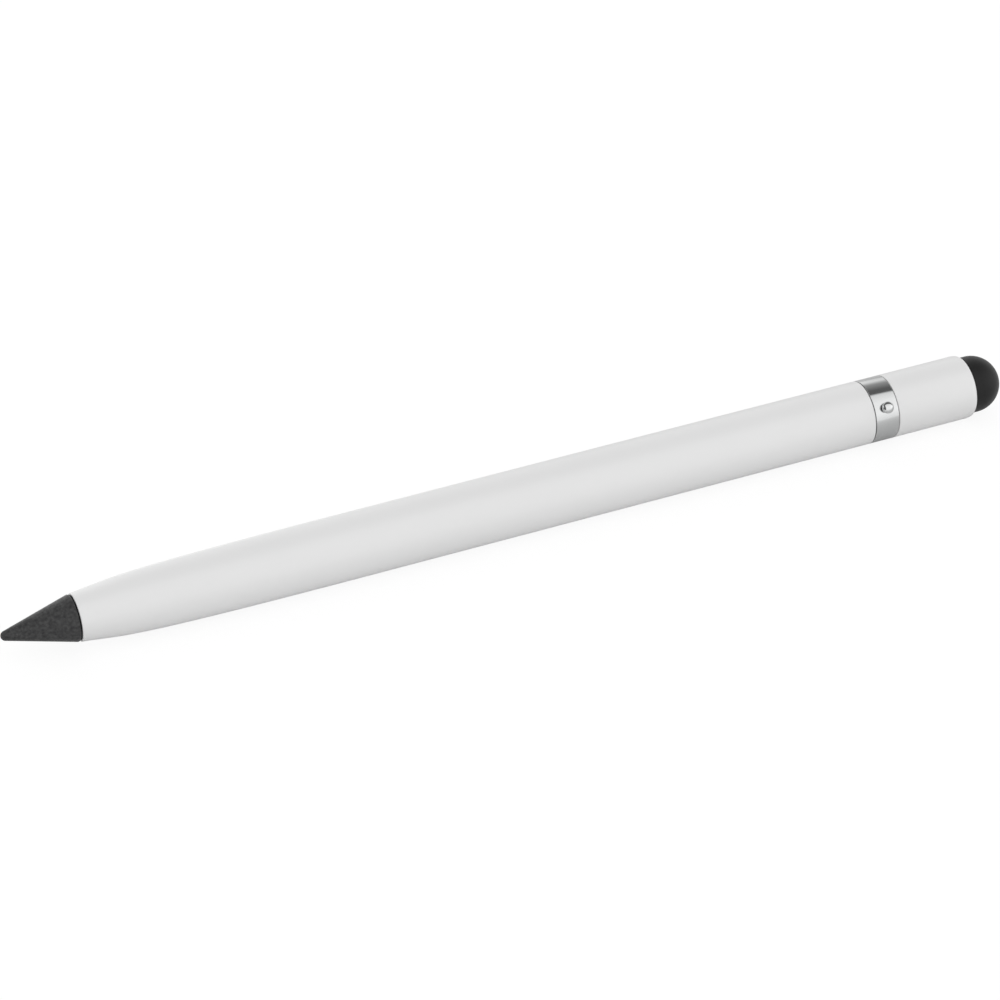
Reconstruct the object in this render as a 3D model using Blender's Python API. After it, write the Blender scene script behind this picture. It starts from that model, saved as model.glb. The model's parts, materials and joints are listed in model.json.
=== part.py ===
"""Everlasting pencil: a screw-in writing nib, a lacquered barrel and a soft stylus end.

The pencil lies on a table along X, with its nib towards -X and its stylus towards +X. The origin is
the point of the table under the middle of its length. Sizes are in millimetres and become metres
when a mesh is made. A station is a distance along the axis from the tip of the nib. Radii are
measured to the flats of the faceted solids, so round pieces touch the table on one flat.
"""

import math

import bmesh
import bpy

MM = 0.001

# Whole pencil
BARREL_RADIUS = 4.5
BARREL_WALL = 0.8
BARREL_LENGTH = 115.5
EDGE_BREAK = 0.1
PUSH_FIT = 0.05
SIDES = 32

# Screw thread of the nib's post, and the bush that takes it
THREAD_RADIUS = 2.0
THREAD_PITCH = 0.7
THREAD_DEPTH = 0.4
THREAD_TURNS = 9
THREAD_CLEARANCE = 0.1
THREAD_RELIEF = 0.5
THREAD_RUN_OUT = 0.35
THREAD_SIDES = 24
THREAD_STEPS = 6
POST_CHAMFER = 0.3
BUSH_WALL = 0.6
BUSH_LENGTH = 7.5

# Nose of the barrel, a curve that leaves the mouth at an angle and ends along the barrel
MOUTH_WALL = 0.53
NOSE_LENGTH = 40.0
NOSE_START_ANGLE = 5.5
NOSE_START_HANDLE = 6.6
NOSE_END_HANDLE = 35.4
NOSE_STEPS = 10
BORE_BEHIND_BUSH = 2.5
BORE_TAPER_LENGTH = 8.0

# Writing nib and its pin
NIB_LENGTH = 10.0
NIB_STEP = 0.08
NIB_TIP_RADIUS = 0.68
NIB_LAND = 0.2
NIB_LAND_DROP = 0.1
NIB_TIP_STEPS = 4
PIN_STEP = 0.4
PIN_LENGTH = 3.8
SOCKET_END_GAP = 0.2

# Washer between the nib's shoulder and the mouth
WASHER_THICKNESS = 0.2
WASHER_INSET = 0.06

# Coupling at the rear of the barrel
SPIGOT_LENGTH = 9.7
SPIGOT_CLEARANCE = 0.12
SPIGOT_LEAD = 0.5
BEAD_COUNT = 3
BEAD_WIDTH = 0.9
BEAD_CLEARANCE = 0.02
BEAD_STEPS = 4
LAND_STEP = 0.25
REAR_SPIGOT_LENGTH = 4.45
COUPLING_WALL = 0.98

# Chromed ring and its stud
RING_WIDTH = 3.65
STUD_ANGLE = 36.5
STUD_SIDES = 16
SHANK_RADIUS = 0.4
SHANK_GRIP = 1.1
HOLE_CLEARANCE = 0.04
NECK_HEIGHT = 0.32
HEAD_RADIUS = 0.8
HEAD_HEIGHT = 0.78
HEAD_UNDERSIDE = 0.12
HEAD_ROUND = 0.48
HEAD_ROUND_STEPS = 4
HEAD_CROWN = 0.02

# Rear sleeve
SLEEVE_END_WALL = 0.45
SLEEVE_LIP = 0.17
SLEEVE_ROUND_LENGTH = 0.8
SLEEVE_ROUND_STEPS = 4

# Stylus dome and the holder that it grips
DOME_WALL = 0.9
DOME_PROJECTION = 5.35
DOME_SEAT = 4.5
DOME_LIP = 2.0
DOME_STEPS = 7
PLUG_LENGTH = 3.2
PLUG_GAP = 0.2
FLANGE_THICKNESS = 1.0
PEG_CLEARANCE = 0.2
PEG_UNDERCUT = 0.65
PEG_HEAD_LENGTH = 1.8
PEG_GAP = 0.1
PEG_STEPS = 5

# Radii that several pieces share
TUBE_BORE = BARREL_RADIUS - BARREL_WALL
THREAD_ROOT = THREAD_RADIUS - THREAD_DEPTH
BUSH_THREAD_RADIUS = THREAD_RADIUS + THREAD_CLEARANCE
BUSH_RADIUS = BUSH_THREAD_RADIUS + BUSH_WALL
NOSE_BORE = BUSH_RADIUS + PUSH_FIT
MOUTH_RADIUS = NOSE_BORE + MOUTH_WALL
NIB_BASE_RADIUS = MOUTH_RADIUS - NIB_STEP
NIB_SHOULDER_RADIUS = NIB_BASE_RADIUS - NIB_LAND_DROP
PIN_RADIUS = THREAD_ROOT - PIN_STEP
SPIGOT_RADIUS = TUBE_BORE - SPIGOT_CLEARANCE
LAND_RADIUS = TUBE_BORE + LAND_STEP
RING_BORE = LAND_RADIUS + PUSH_FIT
SLEEVE_END_BORE = BARREL_RADIUS - SLEEVE_END_WALL
DOME_RADIUS = SLEEVE_END_BORE - PUSH_FIT
DOME_HOLLOW = DOME_RADIUS - DOME_WALL
PEG_HEAD_RADIUS = DOME_HOLLOW - PEG_CLEARANCE
PEG_NECK_RADIUS = PEG_HEAD_RADIUS - PEG_UNDERCUT

# Stations along the axis
SHOULDER = NIB_LENGTH
MOUTH = SHOULDER + WASHER_THICKNESS
BARREL_END = MOUTH + BARREL_LENGTH
RING_MIDDLE = BARREL_END + RING_WIDTH / 2
RING_END = BARREL_END + RING_WIDTH
SLEEVE_STEP = RING_END + REAR_SPIGOT_LENGTH + PLUG_GAP + PLUG_LENGTH
SLEEVE_END = SLEEVE_STEP + DOME_SEAT
DOME_START = SLEEVE_STEP + FLANGE_THICKNESS
DOME_END = SLEEVE_END + DOME_PROJECTION
MIDDLE = DOME_END / 2

# Finishes as sRGB colour, metallic and roughness
FINISHES = {
    "white_lacquer": ("#E4E4E5", 0.0, 0.35),
    "graphite_alloy": ("#47474A", 0.3, 0.75),
    "brass": ("#C9A659", 1.0, 0.3),
    "black_rubber": ("#17171A", 0.0, 0.8),
    "black_moulding": ("#26262A", 0.0, 0.5),
    "chrome": ("#D9DADC", 1.0, 0.08),
    "conductive_rubber": ("#2C2C2F", 0.0, 0.65),
}


def clear_scene():
    """Remove every object of the scene."""
    for item in list(bpy.data.objects):
        bpy.data.objects.remove(item, do_unlink=True)


def linear(srgb_hex):
    """Linear red, green, blue and alpha of an sRGB hex colour."""
    channels = [int(srgb_hex[i:i + 2], 16) / 255 for i in (1, 3, 5)]
    return [c / 12.92 if c <= 0.04045 else ((c + 0.055) / 1.055) ** 2.4 for c in channels] + [1.0]


def finish(piece_name, finish_name):
    """A material of its own for one piece."""
    colour, metallic, roughness = FINISHES[finish_name]
    material = bpy.data.materials.new(f"{piece_name}_{finish_name}")
    material.use_nodes = True
    shader = material.node_tree.nodes["Principled BSDF"]
    shader.inputs["Base Color"].default_value = linear(colour)
    shader.inputs["Metallic"].default_value = metallic
    shader.inputs["Roughness"].default_value = roughness
    return material


def body_frame(name, station, parent=None):
    """An empty on the pencil's axis that carries the pieces of one moving body."""
    frame = bpy.data.objects.new(name, None)
    bpy.context.collection.objects.link(frame)
    frame["station"] = station
    if parent is None:
        frame.location = ((station - MIDDLE) * MM, 0, BARREL_RADIUS * MM)
    else:
        frame.parent = parent
        frame.location = ((station - parent["station"]) * MM, 0, 0)
    return frame


def arc(centre, radii, start, end, steps):
    """Points of an arc round centre, from one angle to another in degrees, both ends included."""
    points = []
    for step in range(steps + 1):
        angle = math.radians(start + (end - start) * step / steps)
        points.append((centre[0] + radii[0] * math.cos(angle), centre[1] + radii[1] * math.sin(angle)))
    return points


def lathe_mesh(name, outline, sides, hollow):
    """Turn an outline of (length, radius) points round X into one closed mesh.

    A radius may also be a function of the angle, which makes screw threads. A hollow outline is a
    closed loop; any other one starts and ends on the axis.
    """
    to_corner = MM / math.cos(math.pi / sides)
    mesh = bmesh.new()
    rings = []
    for length, radius in outline:
        if radius == 0:
            rings.append([mesh.verts.new((length * MM, 0, 0))])
            continue
        ring = []
        for side in range(sides):
            angle = 2 * math.pi * (side + 0.5) / sides
            reach = radius(angle) if callable(radius) else radius
            y = reach * to_corner * math.sin(angle)
            z = -reach * to_corner * math.cos(angle)
            ring.append(mesh.verts.new((length * MM, y, z)))
        rings.append(ring)
    following = rings[1:] + rings[:1] if hollow else rings[1:]
    for ring, other in zip(rings, following):
        for side in range(sides):
            corners = [ring[side % len(ring)], ring[(side + 1) % sides % len(ring)]]
            corners += [other[(side + 1) % sides % len(other)], other[side % len(other)]]
            mesh.faces.new(dict.fromkeys(corners))
    bmesh.ops.recalc_face_normals(mesh, faces=mesh.faces[:])
    data = bpy.data.meshes.new(name)
    mesh.to_mesh(data)
    mesh.free()
    data.shade_smooth()
    data.set_sharp_from_angle(angle=math.radians(30))
    return data


def add_piece(name, data, station, frame, finish_name):
    """Place a turned mesh on its body's axis at its own station."""
    piece = bpy.data.objects.new(name, data)
    bpy.context.collection.objects.link(piece)
    piece.parent = frame
    piece.location = ((station - frame["station"]) * MM, 0, 0)
    data.materials.append(finish(name, finish_name))
    return piece


def turned(name, outline, station, frame, finish_name, sides=SIDES, hollow=False):
    """A named piece turned from its outline."""
    data = lathe_mesh(name, outline, sides, hollow)
    return add_piece(name, data, station, frame, finish_name)


def threaded_outline(start, end, root, depth, station):
    """Rings of a right-hand round thread between two lengths, fading to the root at both ends.

    A positive depth stands out of the root, for a post; a negative one stands in from it, for a bush
    whose valleys face the post's crests.
    """
    rows = math.ceil((end - start) / THREAD_PITCH * THREAD_STEPS)
    outline = []
    for row in range(rows + 1):
        length = start + (end - start) * row / rows
        strength = min(1.0, (length - start) / THREAD_RUN_OUT, (end - length) / THREAD_RUN_OUT)
        turn = 2 * math.pi * (station + length) / THREAD_PITCH

        def radius(angle, strength=strength, turn=turn):
            crest = 0.5 + 0.5 * math.copysign(1, depth) * math.cos(turn - angle)
            return root + depth * strength * crest

        outline.append((length, radius))
    return outline


def nib_outline():
    """The blunt cone, the land that falls to its shoulder, and the socket for the pin."""
    land_start = NIB_LENGTH - NIB_LAND
    reach = land_start - NIB_TIP_RADIUS
    to_land = math.hypot(reach, NIB_BASE_RADIUS)
    slope = math.atan2(NIB_BASE_RADIUS, reach) - math.asin(NIB_TIP_RADIUS / to_land)
    tip_radii = (NIB_TIP_RADIUS, NIB_TIP_RADIUS)
    tip_end = 90 + math.degrees(slope)
    socket_radius = PIN_RADIUS + PUSH_FIT
    socket_end = NIB_LENGTH - PIN_LENGTH - SOCKET_END_GAP
    return [
        (0, 0),
        *arc((NIB_TIP_RADIUS, 0), tip_radii, 180, tip_end, NIB_TIP_STEPS)[1:],
        (land_start, NIB_BASE_RADIUS),
        (NIB_LENGTH, NIB_SHOULDER_RADIUS),
        (NIB_LENGTH, socket_radius),
        (socket_end, socket_radius),
        (socket_end, 0),
    ]


def post_outline():
    """The plain pin in the nib, the shoulder, the thread and the chamfered end."""
    thread_end = THREAD_RELIEF + THREAD_TURNS * THREAD_PITCH
    post_end = thread_end + POST_CHAMFER
    return [
        (-PIN_LENGTH, 0),
        (-PIN_LENGTH, PIN_RADIUS - EDGE_BREAK),
        (EDGE_BREAK - PIN_LENGTH, PIN_RADIUS),
        (0, PIN_RADIUS),
        (0, THREAD_ROOT),
        *threaded_outline(THREAD_RELIEF, thread_end, THREAD_ROOT, THREAD_DEPTH, SHOULDER),
        (post_end, THREAD_ROOT - POST_CHAMFER),
        (post_end, 0),
    ]


def washer_outline():
    """A thin flat ring that clears the thread."""
    inner = BUSH_THREAD_RADIUS
    outer = NIB_SHOULDER_RADIUS - WASHER_INSET
    return [(0, outer), (WASHER_THICKNESS, outer), (WASHER_THICKNESS, inner), (0, inner)]


def bush_outline():
    """A plain cylinder outside, with a thread inside that opens out at both ends."""
    thread = threaded_outline(0, BUSH_LENGTH, BUSH_THREAD_RADIUS, -THREAD_DEPTH, MOUTH)
    return thread + [
        (BUSH_LENGTH, BUSH_RADIUS - EDGE_BREAK),
        (BUSH_LENGTH - EDGE_BREAK, BUSH_RADIUS),
        (0, BUSH_RADIUS),
    ]


def nose_curve():
    """Points of the cubic curve from the mouth's edge to the full radius of the barrel."""
    slope = math.tan(math.radians(NOSE_START_ANGLE))
    controls = [
        (EDGE_BREAK, MOUTH_RADIUS),
        (NOSE_START_HANDLE, MOUTH_RADIUS + slope * NOSE_START_HANDLE),
        (NOSE_LENGTH - NOSE_END_HANDLE, BARREL_RADIUS),
        (NOSE_LENGTH, BARREL_RADIUS),
    ]
    points = []
    for step in range(NOSE_STEPS + 1):
        along = step / NOSE_STEPS
        back = 1 - along
        weights = (back ** 3, 3 * along * back ** 2, 3 * along ** 2 * back, along ** 3)
        points.append(tuple(sum(w * c[k] for w, c in zip(weights, controls)) for k in (0, 1)))
    return points


def barrel_outline():
    """The tube's outside from mouth to rear, then its stepped bore from rear to mouth."""
    taper_start = BUSH_LENGTH + BORE_BEHIND_BUSH
    return [
        (0, MOUTH_RADIUS - EDGE_BREAK),
        *nose_curve(),
        (BARREL_LENGTH - EDGE_BREAK, BARREL_RADIUS),
        (BARREL_LENGTH, BARREL_RADIUS - EDGE_BREAK),
        (BARREL_LENGTH, TUBE_BORE),
        (taper_start + BORE_TAPER_LENGTH, TUBE_BORE),
        (taper_start, NOSE_BORE),
        (0, NOSE_BORE),
    ]


def coupling_outline():
    """Front spigot with its grip beads, the land under the ring, the rear spigot and the bore."""
    bore = SPIGOT_RADIUS - COUPLING_WALL
    rear = RING_WIDTH + REAR_SPIGOT_LENGTH
    straight_start = SPIGOT_LEAD - SPIGOT_LENGTH
    bead_pitch = -straight_start / BEAD_COUNT
    bead_radii = (BEAD_WIDTH / 2, SPIGOT_CLEARANCE - BEAD_CLEARANCE)
    outline = [(-SPIGOT_LENGTH, SPIGOT_RADIUS - SPIGOT_LEAD), (straight_start, SPIGOT_RADIUS)]
    for bead in range(BEAD_COUNT):
        middle = straight_start + bead_pitch * (bead + 0.5)
        outline += arc((middle, SPIGOT_RADIUS), bead_radii, 180, 0, BEAD_STEPS)
    outline += [
        (0, SPIGOT_RADIUS),
        (0, LAND_RADIUS),
        (RING_WIDTH, LAND_RADIUS),
        (RING_WIDTH, SPIGOT_RADIUS),
        (rear - SPIGOT_LEAD, SPIGOT_RADIUS),
        (rear, SPIGOT_RADIUS - SPIGOT_LEAD),
        (rear, bore),
        (-SPIGOT_LENGTH, bore),
    ]
    return outline


def ring_outline():
    """A flush band with broken edges."""
    return [
        (0, BARREL_RADIUS - EDGE_BREAK),
        (EDGE_BREAK, BARREL_RADIUS),
        (RING_WIDTH - EDGE_BREAK, BARREL_RADIUS),
        (RING_WIDTH, BARREL_RADIUS - EDGE_BREAK),
        (RING_WIDTH, RING_BORE),
        (0, RING_BORE),
    ]


def stud_outline():
    """Shank, neck and a thick button head with a wide rounding, by height above the ring."""
    shank_end = RING_BORE - BARREL_RADIUS - SHANK_GRIP
    face = NECK_HEIGHT + HEAD_HEIGHT
    round_centre = (face - HEAD_ROUND, HEAD_RADIUS - HEAD_ROUND)
    return [
        (shank_end, 0),
        (shank_end, SHANK_RADIUS - EDGE_BREAK),
        (shank_end + EDGE_BREAK, SHANK_RADIUS),
        (NECK_HEIGHT, SHANK_RADIUS),
        (NECK_HEIGHT, HEAD_RADIUS - HEAD_UNDERSIDE),
        (NECK_HEIGHT + HEAD_UNDERSIDE, HEAD_RADIUS),
        *arc(round_centre, (HEAD_ROUND, HEAD_ROUND), 90, 0, HEAD_ROUND_STEPS),
        (face + HEAD_CROWN, 0),
    ]


def sleeve_outline():
    """The sleeve's outside with its rounded end, then the counterbore and the bore."""
    length = SLEEVE_END - RING_END
    step = SLEEVE_STEP - RING_END
    lip_radius = SLEEVE_END_BORE + SLEEVE_LIP
    round_centre = (length - SLEEVE_ROUND_LENGTH, lip_radius)
    round_radii = (SLEEVE_ROUND_LENGTH, BARREL_RADIUS - lip_radius)
    return [
        (0, BARREL_RADIUS - EDGE_BREAK),
        (EDGE_BREAK, BARREL_RADIUS),
        *arc(round_centre, round_radii, 90, 0, SLEEVE_ROUND_STEPS),
        (length, SLEEVE_END_BORE),
        (step, SLEEVE_END_BORE),
        (step, TUBE_BORE),
        (0, TUBE_BORE),
    ]


def holder_outline():
    """The plug, the flange on the sleeve's step, and the mushroom peg."""
    plug_radius = TUBE_BORE - PUSH_FIT
    head_start = FLANGE_THICKNESS + DOME_LIP + PEG_GAP
    head_rim = head_start + EDGE_BREAK
    head_radii = (PEG_HEAD_LENGTH - EDGE_BREAK, PEG_HEAD_RADIUS)
    return [
        (-PLUG_LENGTH, 0),
        (-PLUG_LENGTH, plug_radius - EDGE_BREAK),
        (EDGE_BREAK - PLUG_LENGTH, plug_radius),
        (0, plug_radius),
        (0, DOME_RADIUS),
        (FLANGE_THICKNESS, DOME_RADIUS),
        (FLANGE_THICKNESS, PEG_NECK_RADIUS),
        (head_start, PEG_NECK_RADIUS),
        (head_start, PEG_HEAD_RADIUS),
        *arc((head_rim, 0), head_radii, 90, 0, PEG_STEPS),
    ]


def dome_outline():
    """The dome's outside from crown to rim, then its gripping lip and its hollow."""
    length = DOME_END - DOME_START
    centre = (length - DOME_RADIUS, 0)
    lip_radius = PEG_NECK_RADIUS + PUSH_FIT
    return [
        (length, 0),
        *arc(centre, (DOME_RADIUS, DOME_RADIUS), 0, 90, DOME_STEPS)[1:],
        (0, DOME_RADIUS),
        (0, lip_radius),
        (DOME_LIP, lip_radius),
        (DOME_LIP, DOME_HOLLOW),
        *arc(centre, (DOME_HOLLOW, DOME_HOLLOW), 90, 0, DOME_STEPS),
    ]


def stud_hole_cutter(frame):
    """The cutter of the stud's hole, from outside the ring to the middle of the coupling's bore."""
    radius = SHANK_RADIUS + HOLE_CLEARANCE
    outline = [
        (-BARREL_RADIUS, 0),
        (-BARREL_RADIUS, radius),
        (NECK_HEIGHT, radius),
        (NECK_HEIGHT, 0),
    ]
    data = lathe_mesh("stud_hole_cutter", outline, STUD_SIDES, False)
    cutter = bpy.data.objects.new("stud_hole_cutter", data)
    bpy.context.collection.objects.link(cutter)
    place_on_ring(cutter, frame)
    cutter.hide_render = True
    cutter.display_type = "WIRE"
    return cutter


def place_on_ring(piece, frame):
    """Stand a piece turned about X on the ring's surface, pointing out at the stud's angle."""
    angle = math.radians(STUD_ANGLE)
    piece.parent = frame
    piece.location = (
        (RING_MIDDLE - frame["station"]) * MM,
        -BARREL_RADIUS * MM * math.cos(angle),
        BARREL_RADIUS * MM * math.sin(angle),
    )
    piece.rotation_euler = (0, -angle, -math.pi / 2)


def bore_through(piece, cutter):
    """Cut the cutter's shape out of a piece."""
    cut = piece.modifiers.new("stud_hole", "BOOLEAN")
    cut.operation = "DIFFERENCE"
    cut.solver = "EXACT"
    cut.object = cutter


def build_barrel(frame):
    """The fixed body: the lacquered tube and the threaded bush pressed into its mouth."""
    turned("barrel", barrel_outline(), MOUTH, frame, "white_lacquer", hollow=True)
    turned("nose_bush", bush_outline(), MOUTH, frame, "brass", THREAD_SIDES, hollow=True)


def build_nib(washer_frame, nib_frame):
    """The washer that travels with the nib, and the nib with its threaded post."""
    turned("nib_washer", washer_outline(), SHOULDER, washer_frame, "black_rubber", hollow=True)
    turned("writing_nib", nib_outline(), 0, nib_frame, "graphite_alloy")
    turned("nib_stud", post_outline(), SHOULDER, nib_frame, "brass", THREAD_SIDES)


def build_stylus_end(frame):
    """The end that pulls out of the barrel: coupling, ring, stud, sleeve, holder and dome."""
    coupling = turned("coupling", coupling_outline(), BARREL_END, frame, "black_moulding", hollow=True)
    ring = turned("trim_ring", ring_outline(), BARREL_END, frame, "chrome", hollow=True)
    stud = turned("ring_stud", stud_outline(), RING_MIDDLE, frame, "chrome", STUD_SIDES)
    place_on_ring(stud, frame)
    cutter = stud_hole_cutter(frame)
    bore_through(coupling, cutter)
    bore_through(ring, cutter)
    turned("rear_sleeve", sleeve_outline(), RING_END, frame, "white_lacquer", hollow=True)
    turned("stylus_holder", holder_outline(), SLEEVE_STEP, frame, "black_moulding")
    turned("stylus_dome", dome_outline(), DOME_START, frame, "conductive_rubber")


def build():
    """Build the whole pencil."""
    clear_scene()
    barrel_frame = body_frame("barrel_frame", MOUTH)
    washer_frame = body_frame("washer_frame", MOUTH, barrel_frame)
    nib_frame = body_frame("nib_frame", SHOULDER, washer_frame)
    stylus_frame = body_frame("stylus_end_frame", BARREL_END, barrel_frame)
    build_barrel(barrel_frame)
    build_nib(washer_frame, nib_frame)
    build_stylus_end(stylus_frame)


build()
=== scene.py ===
"""Everlasting pencil: the turned, lacquered, plated and moulded surfaces of its pieces.

The pencil lies on a table along X with its nib towards -X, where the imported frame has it. Sizes
are in millimetres and become metres when a mesh is made. An outline is a list of (length, radius)
points that is turned round the pencil's axis, and its lengths are the frame's X.
"""

import json
import math

import bmesh
import bpy
from mathutils import Matrix, Vector


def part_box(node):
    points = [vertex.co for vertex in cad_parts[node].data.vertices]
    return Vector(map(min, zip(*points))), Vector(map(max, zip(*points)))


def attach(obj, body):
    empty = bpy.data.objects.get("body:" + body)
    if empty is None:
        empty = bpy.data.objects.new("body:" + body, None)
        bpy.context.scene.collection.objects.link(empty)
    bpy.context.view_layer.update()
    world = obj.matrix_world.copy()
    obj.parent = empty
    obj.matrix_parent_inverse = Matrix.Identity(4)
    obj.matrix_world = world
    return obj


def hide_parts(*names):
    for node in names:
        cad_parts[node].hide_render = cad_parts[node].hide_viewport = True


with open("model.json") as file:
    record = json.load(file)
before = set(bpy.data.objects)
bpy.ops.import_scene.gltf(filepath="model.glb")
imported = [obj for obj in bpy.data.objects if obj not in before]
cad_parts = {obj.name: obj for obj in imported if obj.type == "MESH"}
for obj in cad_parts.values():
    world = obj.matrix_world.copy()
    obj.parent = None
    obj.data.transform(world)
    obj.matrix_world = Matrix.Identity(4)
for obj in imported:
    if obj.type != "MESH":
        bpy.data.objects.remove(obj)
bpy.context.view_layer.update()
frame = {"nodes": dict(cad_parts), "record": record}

BODIES = frame["record"]["behaviour"]["bodies"]
MM = 0.001


def ends_and_radius(node):
    """Where a turned piece starts and ends along X, and its widest radius."""
    low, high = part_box(node)
    return low.x / MM, high.x / MM, (high.z - low.z) / 2 / MM


# Places and radii that the frame gives
NIB_TIP, SHOULDER, NIB_RADIUS = ends_and_radius("writing_nib")
POST_START, POST_END, THREAD_RADIUS = ends_and_radius("nib_stud")
_, MOUTH, WASHER_RADIUS = ends_and_radius("nib_washer")
BUSH_START, BUSH_END, BUSH_RADIUS = ends_and_radius("nose_bush")
_, BARREL_END, BARREL_RADIUS = ends_and_radius("barrel")
SPIGOT_START, REAR_SPIGOT_END, LAND_RADIUS = ends_and_radius("coupling")
RING_START, RING_END, RING_RADIUS = ends_and_radius("trim_ring")
SLEEVE_START, SLEEVE_END, SLEEVE_RADIUS = ends_and_radius("rear_sleeve")
DOME_START, DOME_END, DOME_RADIUS = ends_and_radius("stylus_dome")
AXIS_HEIGHT = BARREL_RADIUS

# How finely the pieces are turned, and the angle in degrees from which an edge stays sharp
SIDES = 160
RING_SIDES = 320
THREAD_SIDES = 96
STUD_SIDES = 72
CORNER_STEPS = 5
SHARP_ANGLE = 40.0

# Clearance of pieces that are bonded or pressed together
BOND_FIT = 0.05

# Nib: a blunt cone with a narrow land that falls to its shoulder, and the pin in its socket
NIB_TIP_RADIUS = 0.68
NIB_TIP_STEPS = 14
NIB_LAND = 0.2
NIB_LAND_DROP = 0.1
NIB_EDGE = 0.12
NIB_SHOULDER_EDGE = 0.04
PIN_RADIUS = 1.2
PIN_END_GAP = 0.2

# Screw thread of the post and the bush
THREAD_PITCH = 0.7
THREAD_DEPTH = 0.4
THREAD_CLEARANCE = 0.1
THREAD_RELIEF = 0.5
THREAD_RUN_OUT = 0.35
THREAD_STEPS = 16
POST_CHAMFER = 0.3

# Barrel: a tube with a long drawn-in nose, whose bore widens behind the bush
BARREL_WALL = 0.8
NIB_STEP = 0.08
MOUTH_RADIUS = NIB_RADIUS + NIB_STEP
MOUTH_EDGE = 0.12
NOSE_LENGTH = 40.0
NOSE_START_ANGLE = 5.5
NOSE_START_HANDLE = 6.6
NOSE_END_HANDLE = 35.4
NOSE_STEPS = 48
BORE_STEP = 10.0
BORE_TAPER = 8.0
TUBE_EDGE = 0.1

# Coupling: two spigots with a land between them, and grip beads on the front one
SPIGOT_CLEARANCE = 0.12
SPIGOT_RADIUS = BARREL_RADIUS - BARREL_WALL - SPIGOT_CLEARANCE
SPIGOT_LEAD = 0.5
BEAD_COUNT = 3
BEAD_WIDTH = 0.9
BEAD_HEIGHT = 0.1
BEAD_STEPS = 10
COUPLING_BORE = 2.6

# Ring with a shallow groove turned at each seam, and the clearance of faces that meet
FRONT_GROOVE = 0.14
REAR_GROOVE = 0.1
GROOVE_DEPTH = 0.3
SEAM_FIT = 0.005
SEAM_EDGE = 0.05

# Stud, at an angle above the front horizon in degrees. Its heights count from the ring
STUD_ANGLE = 36.5
SHANK_RADIUS = 0.4
SHANK_DEPTH = 1.0
NECK_HEIGHT = 0.28
HEAD_RADIUS = 0.82
HEAD_HEIGHT = 0.85
HEAD_DOME = 1.05
HEAD_DOME_STEPS = 16
HEAD_EDGE = 0.12
HEAD_UNDERSIDE = 0.1

# Rear sleeve: a rounded end round the dome, whose bore steps in at the holder's flange
SLEEVE_ROUND = 0.8
SLEEVE_LIP_RADIUS = 4.22
SLEEVE_END_BORE = 4.05
SLEEVE_ROUND_STEPS = 12
FLANGE_THICKNESS = 1.0
SLEEVE_STEP = DOME_START - FLANGE_THICKNESS

# Dome: a hollow cap of rubber
DOME_WALL = 0.9
DOME_LIP = 2.0
DOME_LIP_RADIUS = 2.3
DOME_STEPS = 40

# Camera, as the photograph was taken. Its places and near limit are in metres
CAMERA_PLACE = Vector((-0.172413, -0.391755, 0.326783))
CAMERA_AIM = Vector((-0.002667, 0.00056, 0.005188))
CAMERA_LENS = 142.2
CAMERA_SENSOR = 36.0
CAMERA_NEAR = 0.01


# Turned shapes

def arc(centre, radii, start, end, steps):
    """Points of an arc round centre, from one angle to another in degrees, both ends included."""
    points = []
    for step in range(steps + 1):
        angle = math.radians(start + (end - start) * step / steps)
        length = centre[0] + radii[0] * math.cos(angle)
        radius = centre[1] + radii[1] * math.sin(angle)
        points.append((length, radius))
    return points


def eased(before, corner, after, radius):
    """The points of a corner that is rounded to a radius, between its two neighbours."""
    here = Vector(corner)
    towards = [(Vector(other) - here).normalized() for other in (before, after)]
    half = towards[0].angle(towards[1]) / 2
    middle = here + (towards[0] + towards[1]).normalized() * (radius / math.sin(half))
    touch = [here + way * (radius / math.tan(half)) - middle for way in towards]
    ways = [touch[0].slerp(touch[1], step / CORNER_STEPS) for step in range(CORNER_STEPS + 1)]
    return [tuple(middle + way * radius) for way in ways]


def turned_mesh(name, outline, sides=SIDES, hollow=False):
    """Turn an outline round X. A radius may be a function of the angle, which makes a thread.

    A hollow outline is a closed loop, and any other one starts and ends on the axis.
    """
    mesh = bmesh.new()
    rings = []
    for length, radius in outline:
        if radius == 0:
            rings.append([mesh.verts.new((length * MM, 0, 0))])
            continue
        ring = []
        for side in range(sides):
            angle = 2 * math.pi * side / sides
            reach = radius(angle) if callable(radius) else radius
            place = (length, reach * math.sin(angle), -reach * math.cos(angle))
            ring.append(mesh.verts.new(Vector(place) * MM))
        rings.append(ring)
    following = rings[1:] + rings[:1] if hollow else rings[1:]
    for ring, other in zip(rings, following):
        for side in range(sides):
            corners = [ring[side % len(ring)], ring[(side + 1) % sides % len(ring)]]
            corners += [other[(side + 1) % sides % len(other)], other[side % len(other)]]
            mesh.faces.new(dict.fromkeys(corners))
    bmesh.ops.recalc_face_normals(mesh, faces=mesh.faces[:])
    data = bpy.data.meshes.new(name)
    mesh.to_mesh(data)
    mesh.free()
    data.shade_smooth()
    data.set_sharp_from_angle(angle=math.radians(SHARP_ANGLE))
    return data


def add_piece(name, data, node, slot, *materials, place=None):
    """Put a mesh on the pencil's axis in place of its CAD node, on that node's body."""
    data.transform(place or Matrix.Translation((0, 0, AXIS_HEIGHT * MM)))
    for material in materials:
        data.materials.append(material)
    piece = bpy.data.objects.new(name, data)
    bpy.context.scene.collection.objects.link(piece)
    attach(piece, next(body for body, nodes in BODIES.items() if node in nodes))
    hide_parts(node)
    return piece


def give_inside(data, *stretches):
    """Give the piece's second material to stretches of its outline, counted back from the end."""
    faces = data.polygons[:]
    for stretch in stretches:
        start = len(faces) - stretch * SIDES
        for face in faces[start:start + SIDES]:
            face.material_index = 1


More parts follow.
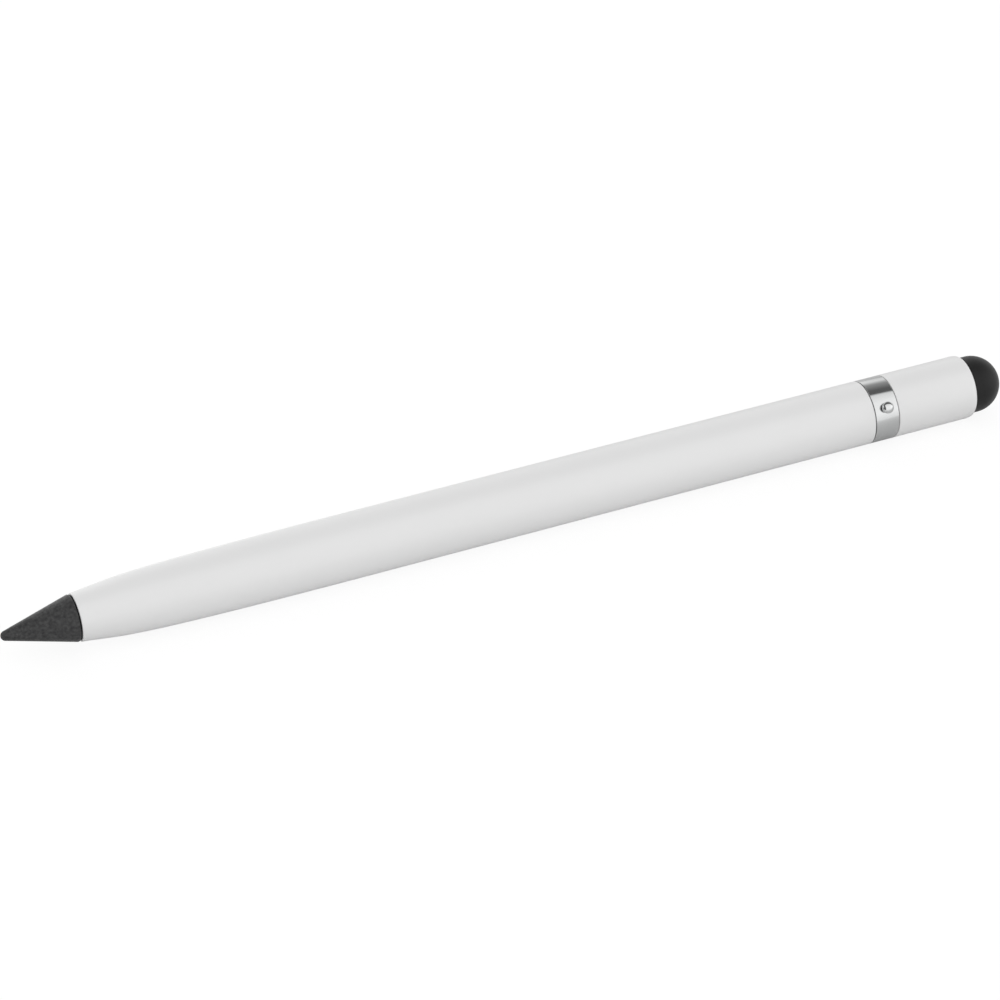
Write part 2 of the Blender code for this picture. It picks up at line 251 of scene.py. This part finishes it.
def threaded(start, end, root, depth):
    """Rings of a right-hand thread between two lengths, fading to the root at both ends."""
    rows = math.ceil((end - start) / THREAD_PITCH * THREAD_STEPS)
    outline = []
    for row in range(rows + 1):
        length = start + (end - start) * row / rows
        strength = min(1.0, (length - start) / THREAD_RUN_OUT, (end - length) / THREAD_RUN_OUT)
        turn = 2 * math.pi * (length - NIB_TIP) / THREAD_PITCH

        def radius(angle, strength=strength, turn=turn):
            crest = 0.5 + 0.5 * math.copysign(1, depth) * math.cos(turn - angle)
            return root + depth * strength * crest

        outline.append((length, radius))
    return outline


# Pieces

def writing_nib(material):
    """The blunt cone, its land and its shoulder, with the socket for the pin."""
    land_start = SHOULDER - NIB_LAND
    tip_centre = NIB_TIP + NIB_TIP_RADIUS
    reach = land_start - tip_centre
    to_land = math.hypot(reach, NIB_RADIUS)
    slope = math.atan2(NIB_RADIUS, reach) - math.asin(NIB_TIP_RADIUS / to_land)
    tip = arc((tip_centre, 0), (NIB_TIP_RADIUS, NIB_TIP_RADIUS), 180, 90 + math.degrees(slope),
              NIB_TIP_STEPS)
    land = (land_start, NIB_RADIUS)
    shoulder = (SHOULDER, NIB_RADIUS - NIB_LAND_DROP)
    socket = (SHOULDER, PIN_RADIUS + BOND_FIT)
    socket_end = (POST_START - PIN_END_GAP, PIN_RADIUS + BOND_FIT)
    outline = [(NIB_TIP, 0), *tip[1:]]
    outline += eased(tip[-1], land, shoulder, NIB_EDGE)
    outline += eased(land, shoulder, socket, NIB_SHOULDER_EDGE)
    outline += [socket, socket_end, (socket_end[0], 0)]
    data = turned_mesh("writing_nib", outline)
    return add_piece("ground_nib", data, "writing_nib", "graphite_alloy", material)


def nib_stud(material):
    """The plain pin in the nib, then the threaded post."""
    root = THREAD_RADIUS - THREAD_DEPTH
    thread_end = POST_END - POST_CHAMFER
    outline = [
        (POST_START, 0),
        (POST_START, PIN_RADIUS - TUBE_EDGE),
        (POST_START + TUBE_EDGE, PIN_RADIUS),
        (SHOULDER, PIN_RADIUS),
        (SHOULDER, root),
        *threaded(SHOULDER + THREAD_RELIEF, thread_end, root, THREAD_DEPTH),
        (POST_END, root - POST_CHAMFER),
        (POST_END, 0),
    ]
    data = turned_mesh("nib_stud", outline, THREAD_SIDES)
    return add_piece("threaded_post", data, "nib_stud", "brass", material)


def nib_washer(material):
    """The thin ring that shows as a black line between nib and barrel. The nib turns against it."""
    inner = THREAD_RADIUS + THREAD_CLEARANCE
    front = SHOULDER + SEAM_FIT
    outline = [
        (front, inner),
        (front, WASHER_RADIUS),
        (MOUTH, WASHER_RADIUS),
        (MOUTH, inner),
    ]
    data = turned_mesh("nib_washer", outline, hollow=True)
    return add_piece("black_washer", data, "nib_washer", "black_rubber", material)


def nose_bush(material):
    """The brass bush in the barrel's mouth, threaded inside."""
    thread = threaded(BUSH_START, BUSH_END, THREAD_RADIUS + THREAD_CLEARANCE, -THREAD_DEPTH)
    outline = [
        *thread,
        (BUSH_END, BUSH_RADIUS - TUBE_EDGE),
        (BUSH_END - TUBE_EDGE, BUSH_RADIUS),
        (BUSH_START + TUBE_EDGE, BUSH_RADIUS),
        (BUSH_START, BUSH_RADIUS - TUBE_EDGE),
    ]
    data = turned_mesh("nose_bush", outline, THREAD_SIDES, hollow=True)
    return add_piece("threaded_bush", data, "nose_bush", "brass", material)


def nose_curve():
    """Points of the cubic curve from the barrel's mouth to its full radius."""
    slope = math.tan(math.radians(NOSE_START_ANGLE))
    controls = [
        (MOUTH, MOUTH_RADIUS),
        (MOUTH + NOSE_START_HANDLE, MOUTH_RADIUS + slope * NOSE_START_HANDLE),
        (MOUTH + NOSE_LENGTH - NOSE_END_HANDLE, BARREL_RADIUS),
        (MOUTH + NOSE_LENGTH, BARREL_RADIUS),
    ]
    points = []
    for step in range(NOSE_STEPS + 1):
        along = step / NOSE_STEPS
        back = 1 - along
        weights = (back ** 3, 3 * along * back ** 2, 3 * along ** 2 * back, along ** 3)
        points.append(tuple(sum(w * c[k] for w, c in zip(weights, controls)) for k in (0, 1)))
    return points


def barrel(lacquer, bare_tube):
    """The tube with its drawn-in nose, eased at both ends, and its stepped bore."""
    bore = BARREL_RADIUS - BARREL_WALL
    nose_bore = BUSH_RADIUS + BOND_FIT
    curve = nose_curve()
    mouth = (MOUTH, MOUTH_RADIUS)
    rear = (BARREL_END - FRONT_GROOVE / 2 - SEAM_FIT, BARREL_RADIUS)
    mouth_bore, rear_bore = (MOUTH, nose_bore), (rear[0], bore)
    outline = eased(mouth_bore, mouth, curve[1], MOUTH_EDGE)
    outline += curve[1:]
    outline += eased(curve[-1], rear, rear_bore, SEAM_EDGE)
    outline += [
        rear_bore,
        (MOUTH + BORE_STEP + BORE_TAPER, bore),
        (MOUTH + BORE_STEP, nose_bore),
        mouth_bore,
    ]
    data = turned_mesh("barrel", outline, hollow=True)
    give_inside(data, 2, 3, 4)
    return add_piece("lacquered_barrel", data, "barrel", "white_lacquer", lacquer, bare_tube)


def coupling(material):
    """The moulded connector: a beaded front spigot, a land under the ring and a rear spigot."""
    straight_start = SPIGOT_START + SPIGOT_LEAD
    bead_pitch = (BARREL_END - straight_start) / BEAD_COUNT
    outline = [(SPIGOT_START, COUPLING_BORE), (SPIGOT_START, SPIGOT_RADIUS - SPIGOT_LEAD)]
    outline.append((straight_start, SPIGOT_RADIUS))
    for bead in range(BEAD_COUNT):
        middle = straight_start + bead_pitch * (bead + 0.5)
        outline += arc((middle, SPIGOT_RADIUS), (BEAD_WIDTH / 2, BEAD_HEIGHT), 180, 0, BEAD_STEPS)
    outline += [
        (BARREL_END, SPIGOT_RADIUS),
        (BARREL_END, LAND_RADIUS),
        (RING_END, LAND_RADIUS),
        (RING_END, SPIGOT_RADIUS),
        (REAR_SPIGOT_END - SPIGOT_LEAD, SPIGOT_RADIUS),
        (REAR_SPIGOT_END, SPIGOT_RADIUS - SPIGOT_LEAD),
        (REAR_SPIGOT_END, COUPLING_BORE),
    ]
    data = turned_mesh("coupling", outline, hollow=True)
    return add_piece("moulded_coupling", data, "coupling", "black_moulding", material)


def trim_ring(material):
    """The flush chromed band, with the shallow grooves that show as dark lines at its seams."""
    start, end = RING_START - FRONT_GROOVE / 2, RING_END + REAR_GROOVE / 2
    band_start, band_end = RING_START + FRONT_GROOVE / 2, RING_END - REAR_GROOVE / 2
    bore = LAND_RADIUS + BOND_FIT
    groove_radius = RING_RADIUS - GROOVE_DEPTH
    front_foot, front = (band_start, groove_radius), (band_start, RING_RADIUS)
    rear, rear_foot = (band_end, RING_RADIUS), (band_end, groove_radius)
    outline = [(start, bore), (start, groove_radius), front_foot]
    outline += eased(front_foot, front, rear, SEAM_EDGE)
    outline += eased(front, rear, rear_foot, SEAM_EDGE)
    outline += [rear_foot, (end, groove_radius), (end, bore)]
    data = turned_mesh("trim_ring", outline, RING_SIDES, hollow=True)
    return add_piece("chromed_band", data, "trim_ring", "chrome", material)


def ring_stud(material):
    """The turned stud: shank, neck and a thick domed head with an eased edge."""
    neck = (NECK_HEIGHT, SHANK_RADIUS)
    under = (NECK_HEIGHT, HEAD_RADIUS)
    dome_centre = NECK_HEIGHT + HEAD_HEIGHT - HEAD_DOME
    inner = HEAD_RADIUS - HEAD_EDGE
    slope = math.asin(inner / (HEAD_DOME - HEAD_EDGE))
    edge_centre = (dome_centre + (HEAD_DOME - HEAD_EDGE) * math.cos(slope), inner)
    edge = arc(edge_centre, (HEAD_EDGE, HEAD_EDGE), 90, math.degrees(slope), CORNER_STEPS)
    dome = arc((dome_centre, 0), (HEAD_DOME, HEAD_DOME), math.degrees(slope), 0, HEAD_DOME_STEPS)
    outline = [(-SHANK_DEPTH, 0), (-SHANK_DEPTH, SHANK_RADIUS), neck]
    outline += eased(neck, under, edge[0], HEAD_UNDERSIDE)
    outline += edge + dome[1:-1]
    outline.append((dome_centre + HEAD_DOME, 0))
    data = turned_mesh("ring_stud", outline, STUD_SIDES)
    angle = math.radians(STUD_ANGLE)
    outward = Vector((0, -math.cos(angle), math.sin(angle)))
    foot = Vector(((RING_START + RING_END) / 2, 0, AXIS_HEIGHT)) + outward * RING_RADIUS
    place = Matrix.Translation(foot * MM) @ outward.to_track_quat("X", "Z").to_matrix().to_4x4()
    return add_piece("chromed_stud", data, "ring_stud", "chrome", material, place=place)


def rear_sleeve(lacquer, bare_tube):
    """The sleeve behind the ring, rounded over where the dome comes out."""
    start = SLEEVE_START + REAR_GROOVE / 2 + SEAM_FIT
    bore = SLEEVE_RADIUS - BARREL_WALL
    round_centre = (SLEEVE_END - SLEEVE_ROUND, SLEEVE_LIP_RADIUS)
    round_radii = (SLEEVE_ROUND, SLEEVE_RADIUS - SLEEVE_LIP_RADIUS)
    rounding = arc(round_centre, round_radii, 90, 0, SLEEVE_ROUND_STEPS)
    lip = (SLEEVE_END, SLEEVE_END_BORE)
    outline = [(start, bore)]
    outline += eased((start, bore), (start, SLEEVE_RADIUS), rounding[0], SEAM_EDGE)
    outline += rounding
    outline += [lip, (SLEEVE_STEP, SLEEVE_END_BORE), (SLEEVE_STEP, bore)]
    data = turned_mesh("rear_sleeve", outline, hollow=True)
    give_inside(data, 1, 2)
    return add_piece("lacquered_sleeve", data, "rear_sleeve", "white_lacquer", lacquer, bare_tube)


def stylus_dome(material):
    """The rubber cap: a half ball on a short tube, hollow, with the lip that grips its peg."""
    centre = (DOME_END - DOME_RADIUS, 0)
    hollow = DOME_RADIUS - DOME_WALL
    outline = [
        *reversed(arc(centre, (DOME_RADIUS, DOME_RADIUS), 90, 0, DOME_STEPS)),
        (DOME_START, DOME_RADIUS),
        (DOME_START, DOME_LIP_RADIUS),
        (DOME_START + DOME_LIP, DOME_LIP_RADIUS),
        (DOME_START + DOME_LIP, hollow),
        *arc(centre, (hollow, hollow), 90, 0, DOME_STEPS),
    ]
    data = turned_mesh("stylus_dome", outline)
    return add_piece("rubber_dome", data, "stylus_dome", "conductive_rubber", material)


# Materials

def linear(srgb_hex):
    """Linear red, green, blue and alpha of an sRGB hex colour."""
    channels = [int(srgb_hex[i:i + 2], 16) / 255 for i in (1, 3, 5)]
    return [c / 12.92 if c <= 0.04045 else ((c + 0.055) / 1.055) ** 2.4 for c in channels] + [1.0]


def add(tree, kind, inputs, **settings):
    """Add a node with its settings. An input is a value or another node's output to link."""
    node = tree.nodes.new(kind)
    for name, value in settings.items():
        setattr(node, name, value)
    for name, value in inputs.items():
        if isinstance(value, bpy.types.NodeSocket):
            tree.links.new(value, node.inputs[name])
        else:
            node.inputs[name].default_value = value
    return node


def new_material(name, **values):
    """A material with its shader's even values, and its piece's coordinates in millimetres.

    A noise's Scale is then how many of its features come to a millimetre.
    """
    material = bpy.data.materials.new(name)
    material.use_nodes = True
    tree = material.node_tree
    shader = tree.nodes["Principled BSDF"]
    for word, value in values.items():
        socket = word.replace("_", " ").title().replace("Ior", "IOR")
        shader.inputs[socket].default_value = value
    place = add(tree, "ShaderNodeTexCoord", {})
    in_mm = add(tree, "ShaderNodeMapping", {
        "Vector": place.outputs["Object"], "Scale": (1 / MM,) * 3,
    })
    return material, tree, shader, in_mm.outputs["Vector"]


def sprayed_lacquer():
    """White polyurethane lacquer, sprayed on aluminium: a satin gloss over a faint orange peel."""
    material, tree, shader, in_mm = new_material("sprayed_white_lacquer", ior=1.5)
    # Orange peel is some 0.9 mm wide here, and the clouds in the film are 11 mm
    peel = add(tree, "ShaderNodeTexNoise", {"Vector": in_mm, "Scale": 1.1, "Detail": 2.0})
    cloud = add(tree, "ShaderNodeTexNoise", {"Vector": in_mm, "Scale": 0.09, "Detail": 3.0})
    tone = add(tree, "ShaderNodeValToRGB", {"Fac": cloud.outputs["Fac"]})
    tone.color_ramp.elements[0].color = linear("#E1E1E1")
    tone.color_ramp.elements[1].color = linear("#E4E4E4")
    gloss = add(tree, "ShaderNodeMapRange", {
        "Value": peel.outputs["Fac"], "To Min": 0.30, "To Max": 0.36,
    })
    bump = add(tree, "ShaderNodeBump", {
        "Height": peel.outputs["Fac"], "Strength": 0.25, "Distance": 0.004 * MM,
    })
    tree.links.new(tone.outputs["Color"], shader.inputs["Base Color"])
    tree.links.new(gloss.outputs["Result"], shader.inputs["Roughness"])
    tree.links.new(bump.outputs["Normal"], shader.inputs["Normal"])
    return material


def drawn_aluminium():
    """Bare aluminium inside a drawn tube: dull metal with fine streaks along the tube."""
    material, tree, shader, in_mm = new_material("drawn_aluminium", metallic=1.0)
    # The die's streaks are some 7 mm long and 0.17 mm wide
    along = add(tree, "ShaderNodeMapping", {"Vector": in_mm, "Scale": (0.15, 6.0, 6.0)})
    streaks = add(tree, "ShaderNodeTexNoise", {
        "Vector": along.outputs["Vector"], "Scale": 1.0, "Detail": 4.0,
    })
    tone = add(tree, "ShaderNodeValToRGB", {"Fac": streaks.outputs["Fac"]})
    tone.color_ramp.elements[0].color = linear("#C9CACC")
    tone.color_ramp.elements[1].color = linear("#E6E7E8")
    gloss = add(tree, "ShaderNodeMapRange", {
        "Value": streaks.outputs["Fac"], "To Min": 0.30, "To Max": 0.48,
    })
    tree.links.new(tone.outputs["Color"], shader.inputs["Base Color"])
    tree.links.new(gloss.outputs["Result"], shader.inputs["Roughness"])
    return material


def ground_graphite_alloy():
    """Pressed graphite alloy, ground to a point: matt dark grey with specks of metal and pores."""
    material, tree, shader, in_mm = new_material(
        "ground_graphite_alloy", ior=1.5, specular_ior_level=0.3,
        sheen_weight=0.22, sheen_roughness=0.35,
    )
    # The powder's grains are under 0.1 mm, and are drawn 0.4 mm wide so that they show
    grain = add(tree, "ShaderNodeTexNoise", {"Vector": in_mm, "Scale": 2.4, "Detail": 6.0})
    tone = add(tree, "ShaderNodeValToRGB", {"Fac": grain.outputs["Fac"]})
    tone.color_ramp.elements[0].position = 0.3
    tone.color_ramp.elements[0].color = linear("#252526")
    tone.color_ramp.elements[1].position = 0.72
    tone.color_ramp.elements[1].color = linear("#444444")
    gloss = add(tree, "ShaderNodeMapRange", {
        "Value": grain.outputs["Fac"], "To Min": 0.7, "To Max": 0.45,
    })
    bump = add(tree, "ShaderNodeBump", {
        "Height": grain.outputs["Fac"], "Strength": 0.5, "Distance": 0.03 * MM,
    })
    tree.links.new(tone.outputs["Color"], shader.inputs["Base Color"])
    tree.links.new(gloss.outputs["Result"], shader.inputs["Roughness"])
    tree.links.new(bump.outputs["Normal"], shader.inputs["Normal"])
    return material


def polished_chrome():
    """Bright chromium plate on turned steel: a mirror, with the turning just showing through."""
    material, tree, shader, in_mm = new_material(
        "polished_chrome_plate", metallic=1.0, base_color=linear("#C3C4C4"),
    )
    # Turning marks under the plate are 0.11 mm apart, the feed of a finishing cut
    round_it = add(tree, "ShaderNodeMapping", {"Vector": in_mm, "Scale": (9.0, 0.2, 0.2)})
    turning = add(tree, "ShaderNodeTexNoise", {
        "Vector": round_it.outputs["Vector"], "Scale": 1.0, "Detail": 3.0,
    })
    gloss = add(tree, "ShaderNodeMapRange", {
        "Value": turning.outputs["Fac"], "To Min": 0.06, "To Max": 0.14,
    })
    tree.links.new(gloss.outputs["Result"], shader.inputs["Roughness"])
    return material


def turned_brass():
    """Machined brass: warm bright metal with fine rings from the lathe."""
    material, tree, shader, in_mm = new_material("turned_brass", metallic=1.0)
    # Turning marks are 0.08 mm apart, the feed of a small lathe
    round_it = add(tree, "ShaderNodeMapping", {"Vector": in_mm, "Scale": (12.0, 0.3, 0.3)})
    turning = add(tree, "ShaderNodeTexNoise", {
        "Vector": round_it.outputs["Vector"], "Scale": 1.0, "Detail": 3.0,
    })
    tone = add(tree, "ShaderNodeValToRGB", {"Fac": turning.outputs["Fac"]})
    tone.color_ramp.elements[0].color = linear("#C99F4E")
    tone.color_ramp.elements[1].color = linear("#E9CB82")
    gloss = add(tree, "ShaderNodeMapRange", {
        "Value": turning.outputs["Fac"], "To Min": 0.18, "To Max": 0.34,
    })
    tree.links.new(tone.outputs["Color"], shader.inputs["Base Color"])
    tree.links.new(gloss.outputs["Result"], shader.inputs["Roughness"])
    return material


def moulded_nitrile():
    """Nitrile rubber, moulded as a washer: dull black with a faint bloom and almost no shine."""
    material, tree, shader, in_mm = new_material(
        "moulded_nitrile", ior=1.5, specular_ior_level=0.2, roughness=0.8,
    )
    # Wax bloom lies in patches of some 0.7 mm
    bloom = add(tree, "ShaderNodeTexNoise", {"Vector": in_mm, "Scale": 1.5, "Detail": 4.0})
    tone = add(tree, "ShaderNodeValToRGB", {"Fac": bloom.outputs["Fac"]})
    tone.color_ramp.elements[0].color = linear("#0B0B0C")
    tone.color_ramp.elements[1].color = linear("#131314")
    tree.links.new(tone.outputs["Color"], shader.inputs["Base Color"])
    return material


def moulded_acetal():
    """Black acetal, injection moulded: an even satin skin with a very fine spark grain."""
    material, tree, shader, in_mm = new_material("moulded_acetal", ior=1.48)
    # The mould's spark grain is some 0.05 mm, and is drawn 0.2 mm wide so that it shows
    grain = add(tree, "ShaderNodeTexNoise", {"Vector": in_mm, "Scale": 5.0, "Detail": 2.0})
    tone = add(tree, "ShaderNodeValToRGB", {"Fac": grain.outputs["Fac"]})
    tone.color_ramp.elements[0].color = linear("#1D1D20")
    tone.color_ramp.elements[1].color = linear("#28282B")
    gloss = add(tree, "ShaderNodeMapRange", {
        "Value": grain.outputs["Fac"], "To Min": 0.36, "To Max": 0.5,
    })
    bump = add(tree, "ShaderNodeBump", {
        "Height": grain.outputs["Fac"], "Strength": 0.3, "Distance": 0.01 * MM,
    })
    tree.links.new(tone.outputs["Color"], shader.inputs["Base Color"])
    tree.links.new(gloss.outputs["Result"], shader.inputs["Roughness"])
    tree.links.new(bump.outputs["Normal"], shader.inputs["Normal"])
    return material


def moulded_silicone():
    """Conductive silicone rubber, moulded: near black, with a soft sheen on a matt skin."""
    material, tree, shader, in_mm = new_material(
        "moulded_silicone", ior=1.43, specular_ior_level=0.22,
        sheen_weight=0.12, sheen_roughness=0.45,
    )
    # The skin's grain is some 0.1 mm, and is drawn 0.3 mm wide so that it shows
    skin = add(tree, "ShaderNodeTexNoise", {"Vector": in_mm, "Scale": 3.0, "Detail": 4.0})
    tone = add(tree, "ShaderNodeValToRGB", {"Fac": skin.outputs["Fac"]})
    tone.color_ramp.elements[0].color = linear("#141414")
    tone.color_ramp.elements[1].color = linear("#1F1F1F")
    gloss = add(tree, "ShaderNodeMapRange", {
        "Value": skin.outputs["Fac"], "To Min": 0.42, "To Max": 0.56,
    })
    bump = add(tree, "ShaderNodeBump", {
        "Height": skin.outputs["Fac"], "Strength": 0.2, "Distance": 0.01 * MM,
    })
    tree.links.new(tone.outputs["Color"], shader.inputs["Base Color"])
    tree.links.new(gloss.outputs["Result"], shader.inputs["Roughness"])
    tree.links.new(bump.outputs["Normal"], shader.inputs["Normal"])
    return material


# Studio

# What polished metal sees round the pencil, by the angle from the front horizon over the top to
# the back horizon in degrees: a large soft box, a gap above it and the pale backdrop
STUDIO_BANDS = (
    (0.0, 1.3),
    (20.0, 1.5),
    (60.0, 1.42),
    (86.0, 1.15),
    (93.0, 0.15),
    (108.0, 0.17),
    (136.0, 0.46),
    (154.0, 1.1),
    (166.0, 1.0),
    (180.0, 0.6),
)
BRIGHTEST_BAND = 1.5
# How bright those bands are by the X of a direction: dark at the far left, where the studio's
# wall is, even over the middle and a little brighter towards the right
STUDIO_SIDES = (
    (-0.6, 0.12),
    (-0.5, 1.0),
    (0.5, 1.0),
    (1.0, 1.25),
)
BRIGHTEST_SIDE = 1.25
# Lamps in it, as direction, narrowness and level: the backdrop's own, low behind the pencil, and
# one low on the left
STUDIO_LAMPS = (
    (Vector((-0.05, 0.96, 0.26)).normalized(), 24.0, 1.1),
    (Vector((-0.9, 0.3, 0.3)).normalized(), 20.0, 3.0),
)
# The even sky that lights matt surfaces, and the share of the studio that is mixed into it
SKY_LEVEL = 1.0
BANDS_IN_SKY = 0.36
WHITE = (1.0, 1.0, 1.0, 1.0)

# Floor, in metres: its side, and where along Y its painted glow starts, where it is full and its
# level.
# # The back glow also fades along X, from none to full. The glow is painted light: the floor emits
# it,
# # only gloss and metal see it, and it stands in for the soft box's and backdrop's light on the
# floor
FLOOR_SIZE = 4.0
FLOOR_FRONT_PAINTED_GLOW = (-0.003, -0.075, 0.55)
FLOOR_BACK_PAINTED_GLOW = (0.0, 0.045, 1.0)
FLOOR_BACK_PAINTED_GLOW_SIDE = (0.035, -0.03)
# How bright the camera sees it in the open, and how much of that a full shadow takes away
FLOOR_SHOWN = 1.02
FLOOR_SHADE_SHOWN = 0.13


def seen_in_gloss(tree, ray):
    """One for a ray that comes off gloss or through glass, and none for any other."""
    return add(tree, "ShaderNodeMath", {
        0: ray.outputs["Is Glossy Ray"], 1: ray.outputs["Is Transmission Ray"],
    }, operation="MAXIMUM").outputs[0]


def set_levels(ramp_node, levels, low, high, brightest):
    """Set a colour ramp to grey levels at places between low and high."""
    ramp = ramp_node.color_ramp
    while len(ramp.elements) < len(levels):
        ramp.elements.new(1.0)
    for element, (place, level) in zip(ramp.elements, levels):
        element.position = (place - low) / (high - low)
        element.color = (level / brightest,) * 3 + (1.0,)


def light_studio():
    """An even pale sky. Gloss and metal see the studio in it, and the camera sees white.

    The bands follow the angle round X, and are multiplied by the sides. The lamps are added.
    """
    world = bpy.data.worlds.new("studio")
    bpy.context.scene.world = world
    world.use_nodes = True
    tree = world.node_tree
    ray = add(tree, "ShaderNodeLightPath", {})
    way = add(tree, "ShaderNodeTexCoord", {})
    parts = add(tree, "ShaderNodeSeparateXYZ", {"Vector": way.outputs["Generated"]})
    forward = add(tree, "ShaderNodeMath", {0: parts.outputs["Y"], 1: -1.0}, operation="MULTIPLY")
    angle = add(tree, "ShaderNodeMath", {
        0: parts.outputs["Z"], 1: forward.outputs[0],
    }, operation="ARCTAN2")
    up = add(tree, "ShaderNodeMath", {0: angle.outputs[0], 1: math.pi}, operation="DIVIDE")
    bands = add(tree, "ShaderNodeValToRGB", {"Fac": up.outputs[0]})
    set_levels(bands, STUDIO_BANDS, 0.0, 180.0, BRIGHTEST_BAND)
    aside = add(tree, "ShaderNodeMapRange", {"Value": parts.outputs["X"], "From Min": -1.0})
    sides = add(tree, "ShaderNodeValToRGB", {"Fac": aside.outputs["Result"]})
    set_levels(sides, STUDIO_SIDES, -1.0, 1.0, BRIGHTEST_SIDE)
    both = add(tree, "ShaderNodeMath", {
        0: bands.outputs["Color"], 1: sides.outputs["Color"],
    }, operation="MULTIPLY")
    strength = add(tree, "ShaderNodeMath", {
        0: both.outputs[0], 1: BRIGHTEST_BAND * BRIGHTEST_SIDE,
    }, operation="MULTIPLY")
    for lamp_way, narrowness, level in STUDIO_LAMPS:
        facing = add(tree, "ShaderNodeVectorMath", {
            0: way.outputs["Generated"], 1: lamp_way,
        }, operation="DOT_PRODUCT")
        ahead = add(tree, "ShaderNodeMath", {
            0: facing.outputs["Value"], 1: 0.0,
        }, operation="MAXIMUM")
        beam = add(tree, "ShaderNodeMath", {0: ahead.outputs[0], 1: narrowness}, operation="POWER")
        strength = add(tree, "ShaderNodeMath", {
            0: beam.outputs[0], 1: level, 2: strength.outputs[0],
        }, operation="MULTIPLY_ADD")
    studio = add(tree, "ShaderNodeBackground", {
        "Color": WHITE, "Strength": strength.outputs[0],
    })
    sky = add(tree, "ShaderNodeBackground", {"Color": WHITE, "Strength": SKY_LEVEL})
    white = add(tree, "ShaderNodeBackground", {"Color": WHITE, "Strength": 1.0})
    share = add(tree, "ShaderNodeMath", {
        0: seen_in_gloss(tree, ray), 1: BANDS_IN_SKY,
    }, operation="MAXIMUM")
    lit = add(tree, "ShaderNodeMixShader", {
        0: share.outputs[0], 1: sky.outputs[0], 2: studio.outputs[0],
    })
    shown = add(tree, "ShaderNodeMixShader", {
        0: ray.outputs["Is Camera Ray"], 1: lit.outputs[0], 2: white.outputs[0],
    })
    tree.links.new(shown.outputs[0], tree.nodes["World Output"].inputs["Surface"])


def lay_floor():
    """A pale floor that the camera sees as white, with the pencil's shadow left on it.

    Gloss and metal see a painted glow on it in front and behind: the floor emits it itself,
    in place of the soft box's and the backdrop's light on it.
    """
    half = FLOOR_SIZE / 2
    corners = [(-half, -half, 0), (half, -half, 0), (half, half, 0), (-half, half, 0)]
    data = bpy.data.meshes.new("floor")
    data.from_pydata(corners, [], [(0, 1, 2, 3)])
    material = bpy.data.materials.new("pale_floor")
    material.use_nodes = True
    tree = material.node_tree
    tree.nodes.remove(tree.nodes["Principled BSDF"])
    ray = add(tree, "ShaderNodeLightPath", {})
    paper = add(tree, "ShaderNodeBsdfDiffuse", {"Color": linear("#DFDFDF")})
    shade = add(tree, "ShaderNodeBsdfDiffuse", {"Color": (FLOOR_SHADE_SHOWN,) * 3 + (1,)})
    lift = add(tree, "ShaderNodeEmission", {"Strength": FLOOR_SHOWN - FLOOR_SHADE_SHOWN})
    shown = add(tree, "ShaderNodeAddShader", {0: shade.outputs[0], 1: lift.outputs[0]})
    spot = add(tree, "ShaderNodeTexCoord", {})
    parts = add(tree, "ShaderNodeSeparateXYZ", {"Vector": spot.outputs["Object"]})
    # Painted glow: the floor emits light in front and behind, which only gloss and metal see
    front, back = [
        add(tree, "ShaderNodeMapRange", {
            "Value": parts.outputs["Y"], "From Min": start, "From Max": full, "To Max": level,
        })
        for start, full, level in (FLOOR_FRONT_PAINTED_GLOW, FLOOR_BACK_PAINTED_GLOW)
    ]
    side = add(tree, "ShaderNodeMapRange", {
        "Value": parts.outputs["X"],
        "From Min": FLOOR_BACK_PAINTED_GLOW_SIDE[0],
        "From Max": FLOOR_BACK_PAINTED_GLOW_SIDE[1],
    })
    glow = add(tree, "ShaderNodeMath", {
        0: back.outputs["Result"], 1: side.outputs["Result"], 2: front.outputs["Result"],
    }, operation="MULTIPLY_ADD")
    in_gloss = add(tree, "ShaderNodeMath", {
        0: glow.outputs[0], 1: seen_in_gloss(tree, ray),
    }, operation="MULTIPLY")
    # The painted glow's emission, added to the paper for gloss rays only
    shine = add(tree, "ShaderNodeEmission", {"Strength": in_gloss.outputs[0]})
    unseen = add(tree, "ShaderNodeAddShader", {0: paper.outputs[0], 1: shine.outputs[0]})
    surface = add(tree, "ShaderNodeMixShader", {
        0: ray.outputs["Is Camera Ray"], 1: unseen.outputs[0], 2: shown.outputs[0],
    })
    tree.links.new(surface.outputs[0], tree.nodes["Material Output"].inputs["Surface"])
    data.materials.append(material)
    floor = bpy.data.objects.new("floor", data)
    bpy.context.scene.collection.objects.link(floor)


def place_camera():
    """The camera, at the photograph's viewing angle."""
    data = bpy.data.cameras.new("camera")
    data.lens = CAMERA_LENS
    data.sensor_width = CAMERA_SENSOR
    data.clip_start = CAMERA_NEAR
    camera = bpy.data.objects.new("camera", data)
    camera.location = CAMERA_PLACE
    camera.rotation_euler = (CAMERA_AIM - CAMERA_PLACE).to_track_quat("-Z", "Y").to_euler()
    bpy.context.scene.collection.objects.link(camera)
    bpy.context.scene.camera = camera


def build():
    """Make every piece, the studio and the camera."""
    lacquer = sprayed_lacquer()
    bare_tube = drawn_aluminium()
    chrome = polished_chrome()
    brass = turned_brass()
    acetal = moulded_acetal()
    writing_nib(ground_graphite_alloy())
    nib_stud(brass)
    nib_washer(moulded_nitrile())
    nose_bush(brass)
    barrel(lacquer, bare_tube)
    coupling(acetal)
    trim_ring(chrome)
    ring_stud(chrome)
    rear_sleeve(lacquer, bare_tube)
    stylus_dome(moulded_silicone())
    # The holder keeps its CAD mesh, which is hidden in the sleeve and the dome
    frame["nodes"]["stylus_holder"].material_slots[0].material = acetal
    place_camera()
    light_studio()
    lay_floor()
    bpy.context.scene.view_settings.view_transform = "Standard"


build()
